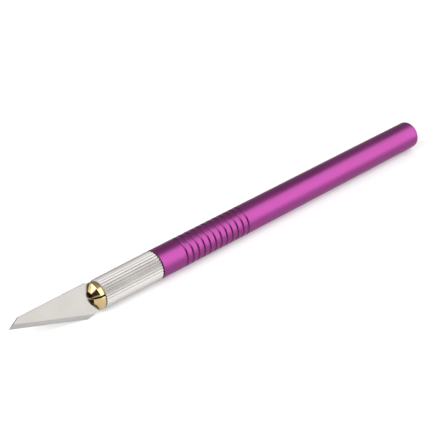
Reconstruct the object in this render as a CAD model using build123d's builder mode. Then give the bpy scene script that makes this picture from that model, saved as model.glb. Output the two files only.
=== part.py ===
from build123d import *
import os
from math import cos, pi, radians, sin, tan

# Hobby craft knife: a round anodised handle, a fluted chuck sleeve, a four-jaw draw-in collet and a
# thin steel blade. The knife lies on a table with its axis along +X, the handle towards +X and the
# blade towards -X. The origin is on the table, below the middle of the knife's length.
# Stations along the axis are measured from the joint between sleeve and handle, positive rearward.

# Handle
ROD_RADIUS = 4.0
HANDLE_LENGTH = 99.3
HANDLE_FRONT_CHAMFER = 0.2
HANDLE_REAR_FILLET = 1.1
GROOVE_COUNT = 12
GROOVE_FIRST = 8.0
GROOVE_LAST = 29.4
GROOVE_WIDTH = 0.56
GROOVE_DEPTH = 0.2

# Thread between collet and handle, M4 x 0.7, kept as plain diameters with running clearance
THREAD_RADIUS = 2.0
THREAD_CLEARANCE = 0.05
THREAD_LENGTH = 9.0
BORE_RUN_OUT = 1.6
DRILL_POINT_ANGLE = 118.0
BORE_MOUTH_CHAMFER = 0.3

# Chuck sleeve
SLEEVE_LENGTH = 17.7
SLEEVE_FRONT_RADIUS = 3.85
SLEEVE_FACE_GAP = 0.05
FLUTE_COUNT = 30
FLUTE_DEPTH = 0.32
FLUTE_LAND = 0.1
FLUTE_FLOOR = 0.06
SLEEVE_BORE = 3.0
SLEEVE_EDGE_BREAK = 0.08

# Key between sleeve and collet: two flats that make them turn together
KEY_LENGTH = 4.0
KEY_BORE = 2.65
KEY_FLAT = 2.25
KEY_CLEARANCE = 0.05

# Collet
JAW_ROOT = 5.0
JAW_ROOT_GAP = 0.1
JAW_SHANK_RADIUS = 2.6
SEAT_RADIUS = 3.3
SEAT_CLEARANCE = 0.04
HEAD_GAP = 0.25
HEAD_RADIUS = 3.65
HEAD_EDGE_BREAK = 0.08
BAND_LENGTH = 1.2
CONE_ANGLE = 55.0
NOSE_RADIUS = 1.9
NOSE_TIP = 20.58
CROSS_SLOT = 0.5
COLLET_COLLAR = 0.6
COLLET_NECK = 0.3
THREAD_TIP_CHAMFER = 0.4

# Blade, drawn in its own plane: along the axis, and up from it towards the spine
BLADE_THICKNESS = 0.5
BLADE_CLEARANCE = 0.02
BLADE_LEAN = 28.0
BLADE_REACH = 42.9
TIP_HEIGHT = 2.21
CLIP_STATION = -39.66
CLIP_HEIGHT = 3.99
SPINE_STATION = -20.5
SPINE_HEIGHT = 4.15
HEEL_STATION = -22.75
SHOULDER_STATION = -18.9
SHOULDER_HEIGHT = 3.62
TANG_STATION = -18.4
TANG_HEIGHT = 2.4
TANG_END = -7.0
TANG_CORNER = 1.0
EDGE_LAND = 0.04
BEVEL_WIDTH = 1.16
BEVEL_RUN_OUT = 5.0

os.makedirs("parts", exist_ok=True)

# Derived places
JOINT_X = (BLADE_REACH - HANDLE_LENGTH) / 2
LEAN_SIN = sin(radians(BLADE_LEAN))
LEAN_COS = cos(radians(BLADE_LEAN))
HEEL_DROP = (ROD_RADIUS - EDGE_LAND / 2 * LEAN_SIN) / LEAN_COS
KNIFE_AXIS = Axis((JOINT_X, 0, ROD_RADIUS), (1, 0, 0))
# Profile plane for turned shapes: x along the axis from the joint, y is the radius
PROFILE = Plane(origin=(JOINT_X, 0, ROD_RADIUS), x_dir=(1, 0, 0), z_dir=(0, -1, 0))
# Blade plane: leans over the table, x along the axis from the joint, y towards the spine
BLADE_PLANE = Plane(origin=(JOINT_X, 0, ROD_RADIUS), x_dir=(1, 0, 0), z_dir=(0, -LEAN_COS, LEAN_SIN))


def station(distance):
    """Cross-section plane facing rearward: x towards the blade's spine, y along the blade's normal."""
    return Plane(
        origin=(JOINT_X + distance, 0, ROD_RADIUS),
        x_dir=(0, LEAN_SIN, LEAN_COS),
        z_dir=(1, 0, 0),
    )


def fluted_corners(tip_radius):
    """Corners of the sleeve's cross-section with its straight flutes."""
    root_radius = tip_radius - FLUTE_DEPTH
    pitch = 2 * pi / FLUTE_COUNT
    corners = []
    for flute in range(FLUTE_COUNT):
        middle = flute * pitch
        for offset, radius in (
            (-FLUTE_LAND / 2, tip_radius),
            (FLUTE_LAND / 2, tip_radius),
            ((1 - FLUTE_FLOOR) / 2, root_radius),
            ((1 + FLUTE_FLOOR) / 2, root_radius),
        ):
            angle = middle + offset * pitch
            corners.append((radius * cos(angle), radius * sin(angle)))
    return corners


# Handle: a solid rod with grip grooves, a rounded rear edge and a blind threaded bore in front
bore_radius = THREAD_RADIUS
bore_floor = THREAD_LENGTH + BORE_RUN_OUT
drill_tip = bore_floor + bore_radius / tan(radians(DRILL_POINT_ANGLE / 2))
groove_pitch = (GROOVE_LAST - GROOVE_FIRST) / (GROOVE_COUNT - 1)
with BuildPart() as handle_barrel:
    with BuildSketch(PROFILE) as handle_profile:
        Polygon(
            (0, 0),
            (0, ROD_RADIUS),
            (HANDLE_LENGTH, ROD_RADIUS),
            (HANDLE_LENGTH, 0),
            align=None,
        )
        outer_corners = handle_profile.vertices().group_by(Axis.Y)[-1].sort_by(Axis.X)
        chamfer(outer_corners[0], HANDLE_FRONT_CHAMFER)
        fillet(outer_corners[-1], HANDLE_REAR_FILLET)
        for groove in range(GROOVE_COUNT):
            middle = GROOVE_FIRST + groove * groove_pitch
            Polygon(
                (middle - GROOVE_WIDTH / 2, ROD_RADIUS),
                (middle, ROD_RADIUS - GROOVE_DEPTH),
                (middle + GROOVE_WIDTH / 2, ROD_RADIUS),
                align=None,
                mode=Mode.SUBTRACT,
            )
    revolve(axis=KNIFE_AXIS)
    with BuildSketch(PROFILE):
        Polygon(
            (0, 0),
            (0, bore_radius + BORE_MOUTH_CHAMFER),
            (BORE_MOUTH_CHAMFER, bore_radius),
            (bore_floor, bore_radius),
            (drill_tip, 0),
            align=None,
        )
    revolve(axis=KNIFE_AXIS, mode=Mode.SUBTRACT)
handle_barrel.part.label = "handle_barrel"
export_step(handle_barrel.part, "parts/handle_barrel.step")

# Chuck sleeve: fluted all round, slightly tapered, with a cone seat in its mouth and a keyed rear web
seat_depth = SEAT_RADIUS + SEAT_CLEARANCE - SLEEVE_BORE
sleeve_rear = -SLEEVE_FACE_GAP
with BuildPart() as chuck_sleeve:
    with BuildSketch(station(sleeve_rear)):
        Polygon(*fluted_corners(ROD_RADIUS), align=None)
    with BuildSketch(station(-SLEEVE_LENGTH)):
        Polygon(*fluted_corners(SLEEVE_FRONT_RADIUS), align=None)
    loft(ruled=True)
    with BuildSketch(PROFILE):
        Polygon(
            (-SLEEVE_LENGTH, 0),
            (-SLEEVE_LENGTH, SLEEVE_FRONT_RADIUS - SLEEVE_EDGE_BREAK),
            (-SLEEVE_LENGTH + SLEEVE_EDGE_BREAK, SLEEVE_FRONT_RADIUS),
            (sleeve_rear - SLEEVE_EDGE_BREAK, ROD_RADIUS),
            (sleeve_rear, ROD_RADIUS - SLEEVE_EDGE_BREAK),
            (sleeve_rear, 0),
            align=None,
        )
    revolve(axis=KNIFE_AXIS, mode=Mode.INTERSECT)
    with BuildSketch(PROFILE):
        Polygon(
            (-SLEEVE_LENGTH, 0),
            (-SLEEVE_LENGTH, SLEEVE_BORE + seat_depth),
            (-SLEEVE_LENGTH + seat_depth, SLEEVE_BORE),
            (-KEY_LENGTH, SLEEVE_BORE),
            (-KEY_LENGTH, 0),
            align=None,
        )
    revolve(axis=KNIFE_AXIS, mode=Mode.SUBTRACT)
    with BuildSketch(station(-KEY_LENGTH)):
        Circle(KEY_BORE)
        Rectangle(2 * KEY_FLAT, 2 * KEY_BORE, mode=Mode.INTERSECT)
    extrude(amount=KEY_LENGTH, mode=Mode.SUBTRACT)
chuck_sleeve.part.label = "chuck_sleeve"
export_step(chuck_sleeve.part, "parts/chuck_sleeve.step")

# Collet stem: the solid rear of the collet, with key flats and the threaded tail in the handle
thread_radius = THREAD_RADIUS - THREAD_CLEARANCE
stem_radius = KEY_BORE - KEY_CLEARANCE
flats_front = -JAW_ROOT + COLLET_COLLAR
with BuildPart() as collet_stem:
    with BuildSketch(PROFILE):
        Polygon(
            (-JAW_ROOT, 0),
            (-JAW_ROOT, stem_radius),
            (-COLLET_NECK, stem_radius),
            (-COLLET_NECK, thread_radius),
            (THREAD_LENGTH - THREAD_TIP_CHAMFER, thread_radius),
            (THREAD_LENGTH, thread_radius - THREAD_TIP_CHAMFER),
            (THREAD_LENGTH, 0),
            align=None,
        )
    revolve(axis=KNIFE_AXIS)
    with BuildSketch(station(flats_front)):
        Rectangle(2 * KEY_BORE, 2 * KEY_BORE)
        Rectangle(2 * (KEY_FLAT - KEY_CLEARANCE), 2 * KEY_BORE, mode=Mode.SUBTRACT)
    extrude(amount=-flats_front - COLLET_NECK, mode=Mode.SUBTRACT)
collet_stem.part.label = "collet_stem"
export_step(collet_stem.part, "parts/collet_stem.step")

# Collet jaws: four quarters of the collet's split front, with a cone seat, a band, a cone
# and a shallow rounded nose
jaw_rear = -JAW_ROOT - JAW_ROOT_GAP
seat_rear = -SLEEVE_LENGTH + SEAT_RADIUS - JAW_SHANK_RADIUS
head_rear = -SLEEVE_LENGTH - HEAD_GAP
band_front = head_rear - BAND_LENGTH
nose_start = band_front - (HEAD_RADIUS - NOSE_RADIUS) / tan(radians(CONE_ANGLE))
blade_slot = BLADE_THICKNESS + 2 * BLADE_CLEARANCE
jaw_length = jaw_rear + NOSE_TIP
quarter_turns = ((1, 1), (1, -1), (-1, -1), (-1, 1))
for number, (spine_side, normal_side) in enumerate(quarter_turns, start=1):
    with BuildPart() as collet_jaw:
        with BuildSketch(PROFILE):
            with BuildLine():
                Polyline(
                    (jaw_rear, 0),
                    (jaw_rear, JAW_SHANK_RADIUS),
                    (seat_rear, JAW_SHANK_RADIUS),
                    (-SLEEVE_LENGTH, SEAT_RADIUS),
                    (head_rear, SEAT_RADIUS),
                    (head_rear, HEAD_RADIUS - HEAD_EDGE_BREAK),
                    (head_rear - HEAD_EDGE_BREAK, HEAD_RADIUS),
                    (band_front, HEAD_RADIUS),
                    (nose_start, NOSE_RADIUS),
                )
                TangentArc((-NOSE_TIP, 0), (nose_start, NOSE_RADIUS), tangent=(0, 1))
                Line((-NOSE_TIP, 0), (jaw_rear, 0))
            make_face()
        revolve(axis=KNIFE_AXIS)
        with BuildSketch(station(-NOSE_TIP)):
            with Locations((spine_side * CROSS_SLOT / 2, normal_side * blade_slot / 2)):
                Rectangle(
                    HEAD_RADIUS,
                    HEAD_RADIUS,
                    align=(
                        Align.MIN if spine_side > 0 else Align.MAX,
                        Align.MIN if normal_side > 0 else Align.MAX,
                    ),
                )
        extrude(amount=jaw_length, mode=Mode.INTERSECT)
    collet_jaw.part.label = f"collet_jaw_{number}"
    export_step(collet_jaw.part, f"parts/{collet_jaw.part.label}.step")

# Blade: flat steel with a clipped point, a ground bevel on both faces and a narrower tang
cutting_edge = Vector(HEEL_STATION + BLADE_REACH, -HEEL_DROP - TIP_HEIGHT, 0)
along_edge = BLADE_PLANE.x_dir * cutting_edge.X + BLADE_PLANE.y_dir * cutting_edge.Y
edge_start = BLADE_PLANE.from_local_coords(Vector(-BLADE_REACH, TIP_HEIGHT, 0))
# Plane across the cutting edge at the point: x across the thickness, y into the blade
across_edge = Plane(origin=edge_start, x_dir=-BLADE_PLANE.z_dir, z_dir=along_edge)
with BuildPart() as blade:
    with BuildSketch(BLADE_PLANE) as blade_outline:
        Polygon(
            (-BLADE_REACH, TIP_HEIGHT),
            (CLIP_STATION, CLIP_HEIGHT),
            (SPINE_STATION, SPINE_HEIGHT),
            (SHOULDER_STATION, SHOULDER_HEIGHT),
            (TANG_STATION, TANG_HEIGHT),
            (TANG_END, TANG_HEIGHT),
            (TANG_END, -TANG_HEIGHT),
            (TANG_STATION, -TANG_HEIGHT),
            (SHOULDER_STATION, -SHOULDER_HEIGHT),
            (HEEL_STATION, -HEEL_DROP),
            align=None,
        )
        chamfer(blade_outline.vertices().group_by(Axis.X)[-1], TANG_CORNER)
    extrude(amount=BLADE_THICKNESS / 2, both=True)
    # Each bevel is a wedge cut along the whole edge, run out past both of its ends
    for face_side in (1, -1):
        with BuildSketch(across_edge):
            Polygon(
                (face_side * EDGE_LAND / 2, 0),
                (face_side * BLADE_THICKNESS / 2, BEVEL_WIDTH),
                (face_side * BLADE_THICKNESS, BEVEL_WIDTH),
                (face_side * BLADE_THICKNESS, -BEVEL_WIDTH),
                (face_side * EDGE_LAND / 2, -BEVEL_WIDTH),
                align=None,
            )
        extrude(amount=cutting_edge.length + BEVEL_RUN_OUT, both=True, mode=Mode.SUBTRACT)
blade.part.label = "blade"
export_step(blade.part, "parts/blade.step")
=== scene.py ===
import math
import bmesh
import bpy
from mathutils import Matrix, Vector


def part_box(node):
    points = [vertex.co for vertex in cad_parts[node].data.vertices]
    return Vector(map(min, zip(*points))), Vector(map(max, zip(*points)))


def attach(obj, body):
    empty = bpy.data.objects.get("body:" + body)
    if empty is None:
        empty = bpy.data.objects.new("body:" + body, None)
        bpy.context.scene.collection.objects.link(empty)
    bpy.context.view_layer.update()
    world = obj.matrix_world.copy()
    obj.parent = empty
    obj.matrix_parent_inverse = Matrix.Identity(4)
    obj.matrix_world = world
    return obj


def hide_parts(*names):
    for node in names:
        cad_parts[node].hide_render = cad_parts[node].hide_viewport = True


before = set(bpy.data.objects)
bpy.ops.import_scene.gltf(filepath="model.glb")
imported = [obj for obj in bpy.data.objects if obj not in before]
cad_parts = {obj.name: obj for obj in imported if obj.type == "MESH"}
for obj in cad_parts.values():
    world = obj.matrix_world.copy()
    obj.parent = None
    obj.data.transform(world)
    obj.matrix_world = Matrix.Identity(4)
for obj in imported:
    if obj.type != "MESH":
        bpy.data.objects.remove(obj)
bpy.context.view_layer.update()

# Hobby craft knife on a pale table. Everything is in metres, in the CAD frame: the knife's axis lies
# along +X, the handle towards +X. Stations are measured from the sleeve joint, positive rearward.
MM = 0.001
MICRON = 0.000001

# Places from the frame
handle_low, handle_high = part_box("handle_barrel")
sleeve_low, sleeve_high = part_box("chuck_sleeve")
blade_low, blade_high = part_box("blade")
ROD_RADIUS = handle_high.z / 2
JOINT_X = handle_low.x
HANDLE_LENGTH = handle_high.x - handle_low.x
SLEEVE_FRONT = sleeve_low.x - JOINT_X
SLEEVE_REAR = sleeve_high.x - JOINT_X
BLADE_TIP = blade_low.x - JOINT_X
TANG_END = blade_high.x - JOINT_X

# Meshing: the reach of the points that hold a straight flat beside a rounded edge, the shortest straight
# that gets them, the steps in a rounded corner, and the angle in degrees above which an edge stays crisp
HOLD = 0.02 * MM
HELD_FROM = 8 * HOLD
ARC_STEPS = 6
SMOOTH_ANGLE = 32

# Handle, with its bore and its twelve grip rings
HANDLE_SIDES = 192
FRONT_CHAMFER = 0.2 * MM
CHAMFER_INNER_ROUND = 0.05 * MM
CHAMFER_OUTER_ROUND = 0.15 * MM
REAR_FILLET = 1.1 * MM
GROOVE_COUNT = 12
GROOVE_FIRST = 8.0 * MM
GROOVE_LAST = 29.4 * MM
GROOVE_WIDTH = 0.56 * MM
GROOVE_DEPTH = 0.2 * MM
GROOVE_LIP = 0.1 * MM
GROOVE_BOTTOM = 0.06 * MM
# Painted shade inside the grip rings starts this far below the surface
RING_SHADE_START = 0.015 * MM
# Painted shade at the sleeve joint reaches this far back along the handle
JOINT_SHADE_END = 0.32 * MM
BORE_RADIUS = 2.0 * MM
BORE_MOUTH = 0.3 * MM
BORE_FLOOR = 10.6 * MM
DRILL_TIP = 11.8 * MM

# Sleeve; a flute's land and floor are shares of its pitch
FLUTES = 30
SLEEVE_FRONT_RADIUS = 3.85 * MM
FLUTE_DEPTH = 0.32 * MM
FLUTE_LAND = 0.1
FLUTE_FLOOR = 0.06
FLUTE_ROUND = 0.03 * MM
FLUTE_ARC_STEPS = 3
SLEEVE_BREAK = 0.08 * MM
BREAK_SHARE = 0.3
SLEEVE_BORE = 3.0 * MM
SEAT_MOUTH = 3.34 * MM
KEY_LENGTH = 4.0 * MM
KEY_BORE = 2.65 * MM
KEY_FLAT = 2.25 * MM

# Collet jaws, from the root forward
JAW_REAR = -5.1 * MM
JAW_SHANK = 2.6 * MM
SEAT_REAR = -17.0 * MM
SEAT_FILLET = 0.3 * MM
SEAT_RADIUS = 3.3 * MM
HEAD_REAR = -17.95 * MM
HEAD_RADIUS = 3.65 * MM
HEAD_FILLET = 0.05 * MM
HEAD_ROUND = 0.1 * MM
BAND_FRONT = -19.15 * MM
BAND_ROUND = 0.07 * MM
CONE_ANGLE = math.radians(55)
NOSE_RADIUS = 1.9 * MM
NOSE_TIP = -20.58 * MM
NOSE_STEPS = 12
SLOT_CLEARANCE = 1.06
CROSS_SLOT = 0.5 * MM
BLADE_SLOT = 0.54 * MM
JAW_ARC_STEPS = 28
JAW_EDGE = 0.035 * MM
JAW_EDGE_ANGLE = 50

# Blade; a pair is a station and a distance from the axis along the blade's plane
LEAN = math.radians(28)
BLADE_THICKNESS = 0.5 * MM
TIP_HEIGHT = 2.21 * MM
CLIP = (-39.66 * MM, 3.99 * MM)
SPINE = (-20.5 * MM, 4.15 * MM)
HEEL_X = -22.75 * MM
SHOULDER = (-18.9 * MM, 3.62 * MM)
TANG = (-18.4 * MM, 2.4 * MM)
TANG_CORNER = 1.0 * MM
EDGE_LAND = 0.04 * MM
MICRO_BEVEL = 0.14 * MM
BEVEL_WIDTH = 1.16 * MM
BACK_EDGE = 0.025 * MM
BLADE_SMOOTH_ANGLE = 6
HEEL_DROP = (ROD_RADIUS - EDGE_LAND / 2 * math.sin(LEAN)) / math.cos(LEAN)

TO_SPINE = Vector((0, math.sin(LEAN), math.cos(LEAN)))
TO_FACE = Vector((0, -math.cos(LEAN), math.sin(LEAN)))


def on_axis(station):
    return Vector((JOINT_X + station, 0, ROD_RADIUS))


def across(station, spineward, faceward):
    """A point beside the axis: along the blade's plane, then along the blade's normal."""
    return on_axis(station) + TO_SPINE * spineward + TO_FACE * faceward


# ---------------------------------------------------------------- mesh helpers


def rounded(corners, steps=ARC_STEPS):
    """Outline through (x, y, radius) corners, each with a radius replaced by an arc."""
    points = []
    last = len(corners) - 1
    for i, (x, y, radius) in enumerate(corners):
        here = Vector((x, y))
        if radius == 0 or i in (0, last):
            points.append(here)
            continue
        back = (Vector(corners[i - 1][:2]) - here).normalized()
        ahead = (Vector(corners[i + 1][:2]) - here).normalized()
        half = back.angle(ahead) / 2
        reach = radius / math.tan(half)
        centre = here + (back + ahead).normalized() * (radius / math.sin(half))
        start = here + back * reach - centre
        end = here + ahead * reach - centre
        sweep = start.angle_signed(end)
        for k in range(steps + 1):
            turn = -sweep * k / steps
            points.append(centre + Vector((
                start.x * math.cos(turn) - start.y * math.sin(turn),
                start.x * math.sin(turn) + start.y * math.cos(turn),
            )))
    return points


def held(points):
    """The outline with a point near both ends of each long straight, so that it keeps its flat shading."""
    result = [points[0]]
    for one, two in zip(points, points[1:]):
        if (two - one).length > HELD_FROM:
            step = (two - one).normalized() * HOLD
            result += [one + step, two - step]
        result.append(two)
    return result


def finish_mesh(name, bm, smooth_angle=SMOOTH_ANGLE):
    """Turns a bmesh into a named object with smooth faces and crisp edges."""
    bmesh.ops.recalc_face_normals(bm, faces=bm.faces)
    mesh = bpy.data.meshes.new(name)
    bm.to_mesh(mesh)
    bm.free()
    for polygon in mesh.polygons:
        polygon.use_smooth = True
    mesh.set_sharp_from_angle(angle=math.radians(smooth_angle))
    piece = bpy.data.objects.new(name, mesh)
    bpy.context.scene.collection.objects.link(piece)
    return piece


def skin(bm, rings, closed=False):
    """Faces between neighbouring rings; a ring of one vertex is a pole."""
    pairs = list(zip(rings, rings[1:]))
    if closed:
        pairs.append((rings[-1], rings[0]))
    for one, two in pairs:
        count = max(len(one), len(two))
        for k in range(count):
            n = (k + 1) % count
            if len(one) == 1:
                bm.faces.new((one[0], two[n], two[k]))
            elif len(two) == 1:
                bm.faces.new((one[k], one[n], two[0]))
            else:
                bm.faces.new((one[k], one[n], two[n], two[k]))


def turned(name, outline, sides):
    """A solid of revolution about the knife's axis, from (station, radius) points."""
    bm = bmesh.new()
    rings = []
    for station, radius in outline:
        if radius == 0:
            rings.append([bm.verts.new(on_axis(station))])
            continue
        ring = []
        for k in range(sides):
            angle = 2 * math.pi * k / sides
            ring.append(bm.verts.new(on_axis(station) + Vector((
                0, radius * math.cos(angle), radius * math.sin(angle)))))
        rings.append(ring)
    skin(bm, rings)
    return finish_mesh(name, bm)


# ---------------------------------------------------------------- pieces


def make_handle():
    pitch = (GROOVE_LAST - GROOVE_FIRST) / (GROOVE_COUNT - 1)
    half = GROOVE_WIDTH / 2
    corners = [
        (DRILL_TIP, 0, 0),
        (BORE_FLOOR, BORE_RADIUS, 0),
        (BORE_MOUTH, BORE_RADIUS, 0),
        (0, BORE_RADIUS + BORE_MOUTH, 0),
        (0, ROD_RADIUS - FRONT_CHAMFER, CHAMFER_INNER_ROUND),
        (FRONT_CHAMFER, ROD_RADIUS, CHAMFER_OUTER_ROUND),
    ]
    for groove in range(GROOVE_COUNT):
        middle = GROOVE_FIRST + groove * pitch
        corners += [
            (middle - half, ROD_RADIUS, GROOVE_LIP),
            (middle, ROD_RADIUS - GROOVE_DEPTH, GROOVE_BOTTOM),
            (middle + half, ROD_RADIUS, GROOVE_LIP),
        ]
    corners += [
        (HANDLE_LENGTH, ROD_RADIUS, REAR_FILLET),
        (HANDLE_LENGTH, 0, 0),
    ]
    handle = turned("handle_turned", held(rounded(corners)), HANDLE_SIDES)
    # Material 1 is painted shade inside the grip rings, material 2 painted shade at the sleeve joint
    for face in handle.data.polygons:
        station = face.center.x - JOINT_X
        radius = math.hypot(face.center.y, face.center.z - ROD_RADIUS)
        ringed = GROOVE_FIRST - half < station < GROOVE_LAST + half
        # Painted shade on the groove walls and floors
        if ringed and ROD_RADIUS - GROOVE_DEPTH < radius < ROD_RADIUS - RING_SHADE_START:
            face.material_index = 1
        # Painted shade on the front chamfer and face, where the gap to the sleeve is in shadow
        elif station < JOINT_SHADE_END and radius > BORE_RADIUS + BORE_MOUTH:
            face.material_index = 2
    return handle


def flute_outline():
    """(angle, depth) pairs round the sleeve, with rounded tooth edges."""
    pitch = 2 * math.pi * ROD_RADIUS / FLUTES
    land = FLUTE_LAND * pitch / 2
    floor = FLUTE_FLOOR * pitch / 2
    period = rounded([
        (0, 0, 0),
        (land, 0, FLUTE_ROUND),
        (pitch / 2 - floor, -FLUTE_DEPTH, FLUTE_ROUND),
        (pitch / 2 + floor, -FLUTE_DEPTH, FLUTE_ROUND),
        (pitch - land, 0, FLUTE_ROUND),
        (pitch, 0, 0),
    ], steps=FLUTE_ARC_STEPS)[:-1]
    outline = []
    for flute in range(FLUTES):
        outline += [((flute + p.x / pitch) * 2 * math.pi / FLUTES, p.y) for p in period]
    return outline


def make_sleeve():
    outline = flute_outline()

    def fluted(envelope):
        """Ring that follows the flutes where they lie inside the envelope radius."""
        def radius(station, angle, depth):
            share = (station - SLEEVE_FRONT) / (SLEEVE_REAR - SLEEVE_FRONT)
            tip = SLEEVE_FRONT_RADIUS + (ROD_RADIUS - SLEEVE_FRONT_RADIUS) * share
            return min(tip + depth, envelope)
        return radius

    def round_bore(size):
        return lambda station, angle, depth: size

    def keyed_bore(station, angle, depth):
        return min(KEY_BORE, KEY_FLAT / max(abs(math.cos(angle)), 1e-6))

    seat_end = SLEEVE_FRONT + SEAT_MOUTH - SLEEVE_BORE
    corner = SLEEVE_BREAK * BREAK_SHARE
    stations = [
        (SLEEVE_REAR, fluted(ROD_RADIUS - SLEEVE_BREAK)),
        (SLEEVE_REAR - corner, fluted(ROD_RADIUS - corner)),
        (SLEEVE_REAR - SLEEVE_BREAK, fluted(ROD_RADIUS)),
        (SLEEVE_REAR - SLEEVE_BREAK - HOLD, fluted(ROD_RADIUS)),
        (SLEEVE_FRONT + SLEEVE_BREAK + HOLD, fluted(ROD_RADIUS)),
        (SLEEVE_FRONT + SLEEVE_BREAK, fluted(SLEEVE_FRONT_RADIUS)),
        (SLEEVE_FRONT + corner, fluted(SLEEVE_FRONT_RADIUS - corner)),
        (SLEEVE_FRONT, fluted(SLEEVE_FRONT_RADIUS - SLEEVE_BREAK)),
        (SLEEVE_FRONT, round_bore(SEAT_MOUTH)),
        (seat_end, round_bore(SLEEVE_BORE)),
        (-KEY_LENGTH, round_bore(SLEEVE_BORE)),
        (-KEY_LENGTH, keyed_bore),
        (SLEEVE_REAR, keyed_bore),
    ]
    bm = bmesh.new()
    rings = []
    for station, radius in stations:
        ring = []
        for angle, depth in outline:
            size = radius(station, angle, depth)
            ring.append(bm.verts.new(across(
                station, size * math.cos(angle), size * math.sin(angle))))
        rings.append(ring)
    skin(bm, rings, closed=True)
    return finish_mesh("sleeve_fluted", bm)


def jaw_outline():
    """(station, radius) points along a jaw, from its root to its nose."""
    nose_start = BAND_FRONT - (HEAD_RADIUS - NOSE_RADIUS) / math.tan(CONE_ANGLE)
    corners = rounded([
        (JAW_REAR, JAW_SHANK, 0),
        (SEAT_REAR, JAW_SHANK, SEAT_FILLET),
        (SLEEVE_FRONT, SEAT_RADIUS, 0),
        (HEAD_REAR, SEAT_RADIUS, HEAD_FILLET),
        (HEAD_REAR, HEAD_RADIUS, HEAD_ROUND),
        (BAND_FRONT, HEAD_RADIUS, BAND_ROUND),
        (nose_start, NOSE_RADIUS, 0),
    ])
    # A shallow ball-shaped nose in front of the cone, down to where the two slots meet
    height = nose_start - NOSE_TIP
    ball = (NOSE_RADIUS ** 2 + height ** 2) / (2 * height)
    smallest = math.hypot(CROSS_SLOT / 2, BLADE_SLOT / 2) * SLOT_CLEARANCE
    for k in range(1, NOSE_STEPS + 1):
        radius = NOSE_RADIUS + (smallest - NOSE_RADIUS) * k / NOSE_STEPS
        corners.append(Vector((NOSE_TIP + ball - math.sqrt(ball ** 2 - radius ** 2), radius)))
    return held(corners)


def make_jaw(number, spine_side, face_side):
    """One prong of the collet; the two sides are signs that say in which quarter it lies."""
    bm = bmesh.new()
    inner = (CROSS_SLOT / 2, BLADE_SLOT / 2)
    rings = []
    for station, radius in jaw_outline():
        first = math.asin(inner[1] / radius)
        last = math.acos(inner[0] / radius)
        ring = [bm.verts.new(across(station, spine_side * inner[0], face_side * inner[1]))]
        for k in range(JAW_ARC_STEPS + 1):
            angle = first + (last - first) * k / JAW_ARC_STEPS
            ring.append(bm.verts.new(across(
                station,
                spine_side * radius * math.cos(angle),
                face_side * radius * math.sin(angle),
            )))
        rings.append(ring)
    skin(bm, rings)
    bm.faces.new(rings[0])
    bm.faces.new(rings[-1])
    piece = finish_mesh(f"jaw_{number}_turned", bm)
    soften(piece)
    return piece


def soften(piece):
    """Small rounded edges on a jaw, applied to its mesh."""
    bevel = piece.modifiers.new("edge", "BEVEL")
    bevel.width = JAW_EDGE
    bevel.segments = 2
    bevel.limit_method = "ANGLE"
    bevel.angle_limit = math.radians(JAW_EDGE_ANGLE)
    depsgraph = bpy.context.evaluated_depsgraph_get()
    depsgraph.update()
    mesh = bpy.data.meshes.new_from_object(piece.evaluated_get(depsgraph))
    piece.modifiers.clear()
    old = piece.data
    piece.data = mesh
    bpy.data.meshes.remove(old)
    mesh.name = piece.name


def crossing(start, direction, other, other_direction):
    """Where two lines in the blade's plane cross."""
    gap = other - start
    cross = direction.x * other_direction.y - direction.y * other_direction.x
    return start + direction * ((gap.x * other_direction.y - gap.y * other_direction.x) / cross)


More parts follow.
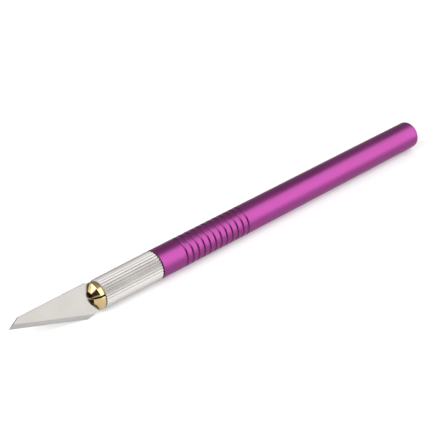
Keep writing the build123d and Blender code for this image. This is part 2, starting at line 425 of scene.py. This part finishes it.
def make_blade():
    """The blade as a closed mesh: two ground faces, two flat faces and the narrow faces between them."""
    tip = Vector((BLADE_TIP, TIP_HEIGHT))
    heel = Vector((HEEL_X, -HEEL_DROP))
    along = (heel - tip).normalized()
    inward = Vector((-along.y, along.x))
    clip = Vector(CLIP)
    rear = Vector((SHOULDER[0], -SHOULDER[1]))
    corner = TANG_CORNER
    back = [
        clip,
        Vector(SPINE),
        Vector(SHOULDER),
        Vector(TANG),
        Vector((TANG_END - corner, TANG[1])),
        Vector((TANG_END, TANG[1] - corner)),
        Vector((TANG_END, corner - TANG[1])),
        Vector((TANG_END - corner, -TANG[1])),
        Vector((TANG[0], -TANG[1])),
        rear,
    ]

    def parallel(distance):
        """Ends of the line at that distance from the cutting edge."""
        start = tip + inward * distance
        return (
            crossing(start, along, tip, clip - tip),
            crossing(start, along, heel, rear - heel),
        )

    slope = (BLADE_THICKNESS - EDGE_LAND) / BEVEL_WIDTH
    # (distance from the cutting edge, thickness there)
    rows = [
        (0, EDGE_LAND / 2),
        (MICRO_BEVEL, EDGE_LAND + slope * MICRO_BEVEL),
        (BEVEL_WIDTH, BLADE_THICKNESS),
    ]
    bm = bmesh.new()
    sides = {}
    for side in (1, -1):
        sides[side] = {
            "rows": [
                [bm.verts.new(across(p.x, p.y, side * thickness / 2)) for p in parallel(distance)]
                for distance, thickness in rows
            ],
            "back": [bm.verts.new(across(p.x, p.y, side * BLADE_THICKNESS / 2)) for p in back],
        }
        chain = sides[side]["rows"]
        # Material 1 is the ground steel
        for lower, upper in zip(chain, chain[1:]):
            face = bm.faces.new((lower[0], lower[1], upper[1], upper[0]))
            face.material_index = 1
        sides[side]["flat"] = [chain[-1][0]] + sides[side]["back"] + [chain[-1][1]]
        bm.faces.new(sides[side]["flat"])
    near, far = sides[1], sides[-1]
    edge = bm.faces.new((near["rows"][0][0], near["rows"][0][1], far["rows"][0][1], far["rows"][0][0]))
    edge.material_index = 1
    for end in (0, 1):
        for k in range(len(rows) - 1):
            bm.faces.new((
                near["rows"][k][end], near["rows"][k + 1][end],
                far["rows"][k + 1][end], far["rows"][k][end],
            ))
    loop_near, loop_far = near["flat"], far["flat"]
    back_edges = []
    for k in range(len(loop_near) - 1):
        bm.faces.new((loop_near[k], loop_near[k + 1], loop_far[k + 1], loop_far[k]))
        back_edges.append(bm.edges.get((loop_near[k], loop_near[k + 1])))
        back_edges.append(bm.edges.get((loop_far[k], loop_far[k + 1])))
    bmesh.ops.bevel(bm, geom=back_edges, offset=BACK_EDGE, segments=2, affect="EDGES",
                    profile=0.5, clamp_overlap=True)
    bmesh.ops.triangulate(bm, faces=[f for f in bm.faces if len(f.verts) > 4])
    return finish_mesh("blade_ground", bm, smooth_angle=BLADE_SMOOTH_ANGLE)


# ---------------------------------------------------------------- materials


# Noise scales are in cycles per metre, along the knife's axis first. Between these two values of the noise
# a tone or a roughness goes from its low to its high end.
NOISE_LOW = 0.3
NOISE_HIGH = 0.7

VIOLET_DYE = ((0.195, 0.026, 0.146), (0.222, 0.032, 0.168))
VIOLET_EDGE_TINT = (0.8, 0.68, 0.76)
# How much darker the painted shade inside the grip rings is
RING_SHADE_DEPTH = 2.0
# How much darker the painted shade at the sleeve joint is
JOINT_SHADE_DEPTH = 7
GRIND_ANGLE = 0.32


class Shader:
    """A small builder for procedural materials."""

    def __init__(self, name, metallic=1.0):
        self.material = bpy.data.materials.new(name)
        self.material.use_nodes = True
        self.tree = self.material.node_tree
        self.tree.nodes.clear()
        output = self.tree.nodes.new("ShaderNodeOutputMaterial")
        self.surface = self.tree.nodes.new("ShaderNodeBsdfPrincipled")
        self.link(self.surface, "BSDF", output, "Surface")
        self.coords = self.tree.nodes.new("ShaderNodeTexCoord")
        self.set("Metallic", metallic)

    def link(self, source, out, target, into):
        self.tree.links.new(source.outputs[out], target.inputs[into])

    def set(self, socket, value):
        self.surface.inputs[socket].default_value = value

    def mapped(self, scale, rotation=(0, 0, 0), source=None):
        node = self.tree.nodes.new("ShaderNodeMapping")
        node.inputs["Scale"].default_value = scale
        node.inputs["Rotation"].default_value = rotation
        if source is None:
            self.link(self.coords, "Object", node, "Vector")
        else:
            self.link(source, "Vector", node, "Vector")
        return node

    def noise(self, mapping, detail):
        node = self.tree.nodes.new("ShaderNodeTexNoise")
        node.inputs["Scale"].default_value = 1.0
        node.inputs["Detail"].default_value = detail
        self.link(mapping, "Vector", node, "Vector")
        return node

    def tones(self, noise, low, high):
        """A base colour between two tones."""
        node = self.tree.nodes.new("ShaderNodeValToRGB")
        first, last = node.color_ramp.elements
        first.position, first.color = NOISE_LOW, (*low, 1)
        last.position, last.color = NOISE_HIGH, (*high, 1)
        self.link(noise, "Fac", node, "Fac")
        self.link(node, "Color", self.surface, "Base Color")

    def roughness(self, noise, low, high):
        node = self.tree.nodes.new("ShaderNodeMapRange")
        node.inputs["From Min"].default_value = NOISE_LOW
        node.inputs["From Max"].default_value = NOISE_HIGH
        node.inputs["To Min"].default_value = low
        node.inputs["To Max"].default_value = high
        self.link(noise, "Fac", node, "Value")
        self.link(node, "Result", self.surface, "Roughness")

    def sum(self, one, two, share):
        """The first noise plus a share of the second."""
        node = self.tree.nodes.new("ShaderNodeMath")
        node.operation = "MULTIPLY_ADD"
        self.link(two, "Fac", node, 0)
        node.inputs[1].default_value = share
        self.link(one, "Fac", node, 2)
        return node

    def bump(self, source, distance, strength):
        node = self.tree.nodes.new("ShaderNodeBump")
        node.inputs["Strength"].default_value = strength
        node.inputs["Distance"].default_value = distance
        self.link(source, 0, node, "Height")
        self.link(node, "Normal", self.surface, "Normal")


def anodised(name, depth):
    """Violet dye on blasted aluminium; a depth above 1 darkens it, as painted shade."""
    s = Shader(name)
    blotch = s.noise(s.mapped((90, 160, 160)), detail=4)
    low, high = ([value / depth for value in tone] for tone in VIOLET_DYE)
    s.tones(blotch, low, high)
    s.roughness(blotch, 0.36, 0.44)
    s.set("Coat Weight", 0.2)
    s.set("Coat Roughness", 0.3)
    s.set("Specular Tint", (*VIOLET_EDGE_TINT, 1))
    blast = s.noise(s.mapped((9000, 9000, 9000)), detail=2)
    lathe = s.noise(s.mapped((6000, 60, 60)), detail=2)
    s.bump(s.sum(blast, lathe, 0.6), 4 * MICRON, 0.5)
    return s.material


def bare_aluminium():
    s = Shader("bright_fluted")
    patch = s.noise(s.mapped((120, 400, 400)), detail=4)
    s.tones(patch, (0.35, 0.338, 0.327), (0.43, 0.415, 0.402))
    s.roughness(patch, 0.5, 0.6)
    drawn = s.noise(s.mapped((250, 6000, 6000)), detail=3)
    s.bump(drawn, 4 * MICRON, 0.5)
    return s.material


def brass():
    s = Shader("polished_brass")
    patch = s.noise(s.mapped((300, 300, 300)), detail=4)
    s.tones(patch, (0.42, 0.307, 0.152), (0.48, 0.357, 0.182))
    s.roughness(patch, 0.1, 0.17)
    lathe = s.noise(s.mapped((9000, 200, 200)), detail=2)
    s.bump(lathe, 3 * MICRON, 0.4)
    return s.material


def steel(name, ground):
    """Blade steel: flat faces with a fine grain, or the bevel with its cross-wise grinding marks."""
    s = Shader(name)
    flat = s.mapped((1, 1, 1), rotation=(LEAN - math.pi / 2, 0, 0))
    patch = s.noise(s.mapped((120, 120, 120), source=flat), detail=5)
    if ground:
        s.tones(patch, (0.25, 0.246, 0.239), (0.29, 0.285, 0.277))
        s.roughness(patch, 0.28, 0.36)
        marks = s.mapped((9000, 500, 500), rotation=(0, 0, GRIND_ANGLE), source=flat)
        s.bump(s.noise(marks, detail=3), 2 * MICRON, 0.6)
    else:
        s.tones(patch, (0.188, 0.180, 0.169), (0.212, 0.204, 0.192))
        s.roughness(patch, 0.14, 0.19)
        grain = s.mapped((400, 9000, 9000), source=flat)
        s.bump(s.noise(grain, detail=3), 1.5 * MICRON, 0.5)
    return s.material


def paper():
    s = Shader("pale_table", metallic=0.0)
    tint = s.noise(s.mapped((8, 8, 8)), detail=3)
    s.tones(tint, (0.66, 0.66, 0.66), (0.68, 0.68, 0.68))
    s.set("Roughness", 0.4)
    s.set("Specular IOR Level", 0.4)
    return s.material


def dress(piece, *materials):
    for material in materials:
        piece.data.materials.append(material)


# ---------------------------------------------------------------- the knife

violet = anodised("violet_anodised", 1)
# Darker copy of the violet, as painted shade inside the grip rings
ring_shaded_violet = anodised("violet_painted_shade_in_rings", RING_SHADE_DEPTH)
# Darker copy of the violet, as painted shade at the sleeve joint
joint_shaded_violet = anodised("violet_painted_shade_in_joint", JOINT_SHADE_DEPTH)
bright = bare_aluminium()
gold = brass()
blade_face = steel("blade_face", ground=False)
blade_bevel = steel("blade_bevel", ground=True)

pieces = [
    (make_handle(), "handle", "handle_barrel", "anodised_violet", (violet, ring_shaded_violet, joint_shaded_violet)),
    (make_sleeve(), "sleeve", "chuck_sleeve", "bright_aluminium", (bright,)),
    (make_blade(), "blade", "blade", "blade_steel", (blade_face, blade_bevel)),
]
for number, sides in enumerate(((1, 1), (1, -1), (-1, -1), (-1, 1)), start=1):
    jaw = make_jaw(number, *sides)
    pieces.append((jaw, f"jaw_{number}", f"collet_jaw_{number}", "collet_brass", (gold,)))
for piece, body, node, slot, materials in pieces:
    dress(piece, *materials)
    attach(piece, body)
    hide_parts(node)
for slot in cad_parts["collet_stem"].material_slots:
    slot.material = gold

# ---------------------------------------------------------------- stage, light and camera

scene = bpy.context.scene
FLOOR_REACH = 3.0
MIDDLE = Vector((0, 0, ROD_RADIUS))

# name, direction from the knife, distance, sides, radiance, whether it casts shadows
SOFTBOXES = (
    ("front_softbox", (0.57, -0.643, 0.511), 0.6, (0.78, 0.95), 2.05, True),
    ("left_softbox", (-0.76, 0.5, 0.42), 0.6, (0.42, 0.46), 4.0, True),
    ("top_left_softbox", (-0.71, -0.15, 0.69), 0.6, (0.34, 0.38), 3.0, True),
    ("top_left_fill", (-0.71, -0.15, 0.69), 0.61, (0.34, 0.38), 4.5, False),
)

# axis, where its fade starts and ends, and the strengths there
WORLD_FADES = (
    ("Y", -0.75, 0.7, 1.2, 0.62),
    ("X", -0.5, 0.1, 0.04, 1.0),
)

CAMERA_PLACE = (-0.17299, -0.18503, 0.17916)
CAMERA_YAW = math.radians(41.822)
CAMERA_PITCH = math.radians(34.264)
CAMERA_LENS = 96.28


def make_floor():
    bm = bmesh.new()
    for x, y in ((-1, -1), (1, -1), (1, 1), (-1, 1)):
        bm.verts.new((x * FLOOR_REACH, y * FLOOR_REACH, 0))
    bm.faces.new(bm.verts)
    floor = finish_mesh("table_top", bm)
    dress(floor, paper())


def make_softbox(name, direction, distance, sides, radiance, shadows):
    """A rectangular light facing the knife, its first side lying towards +X."""
    light = bpy.data.lights.new(name, "AREA")
    light.shape = "RECTANGLE"
    light.size, light.size_y = sides
    # Cycles divides the power of such a light by four times its area
    light.energy = radiance * 4 * sides[0] * sides[1]
    light.use_shadow = shadows
    lamp = bpy.data.objects.new(name, light)
    way = Vector(direction).normalized()
    first = (Vector((1, 0, 0)) - way * way.x).normalized()
    turn = Matrix((first, way.cross(first), way)).transposed()
    lamp.matrix_world = Matrix.Translation(MIDDLE + way * distance) @ turn.to_4x4()
    scene.collection.objects.link(lamp)


def make_world():
    """A studio that is bright in front of the knife and darker behind it and towards its point."""
    world = bpy.data.worlds.new("studio")
    world.use_nodes = True
    scene.world = world
    tree = world.node_tree
    tree.nodes.clear()
    output = tree.nodes.new("ShaderNodeOutputWorld")
    background = tree.nodes.new("ShaderNodeBackground")
    coords = tree.nodes.new("ShaderNodeTexCoord")
    split = tree.nodes.new("ShaderNodeSeparateXYZ")
    tree.links.new(coords.outputs["Generated"], split.inputs[0])
    product = tree.nodes.new("ShaderNodeMath")
    product.operation = "MULTIPLY"
    for socket, (axis, first, last, start, end) in enumerate(WORLD_FADES):
        spread = tree.nodes.new("ShaderNodeMapRange")
        spread.interpolation_type = "SMOOTHSTEP"
        spread.inputs["From Min"].default_value = first
        spread.inputs["From Max"].default_value = last
        spread.inputs["To Min"].default_value = start
        spread.inputs["To Max"].default_value = end
        tree.links.new(split.outputs[axis], spread.inputs["Value"])
        tree.links.new(spread.outputs["Result"], product.inputs[socket])
    tree.links.new(product.outputs[0], background.inputs["Strength"])
    tree.links.new(background.outputs[0], output.inputs[0])


def make_camera():
    data = bpy.data.cameras.new("camera")
    data.lens = CAMERA_LENS
    data.clip_start = 0.01
    data.clip_end = 20.0
    camera = bpy.data.objects.new("camera", data)
    camera.location = CAMERA_PLACE
    camera.rotation_euler = (math.pi / 2 - CAMERA_PITCH, 0, -CAMERA_YAW)
    scene.collection.objects.link(camera)
    scene.camera = camera


make_floor()
make_world()
for softbox in SOFTBOXES:
    make_softbox(*softbox)
make_camera()
scene.view_settings.view_transform = "Standard"
scene.cycles.use_denoising = True
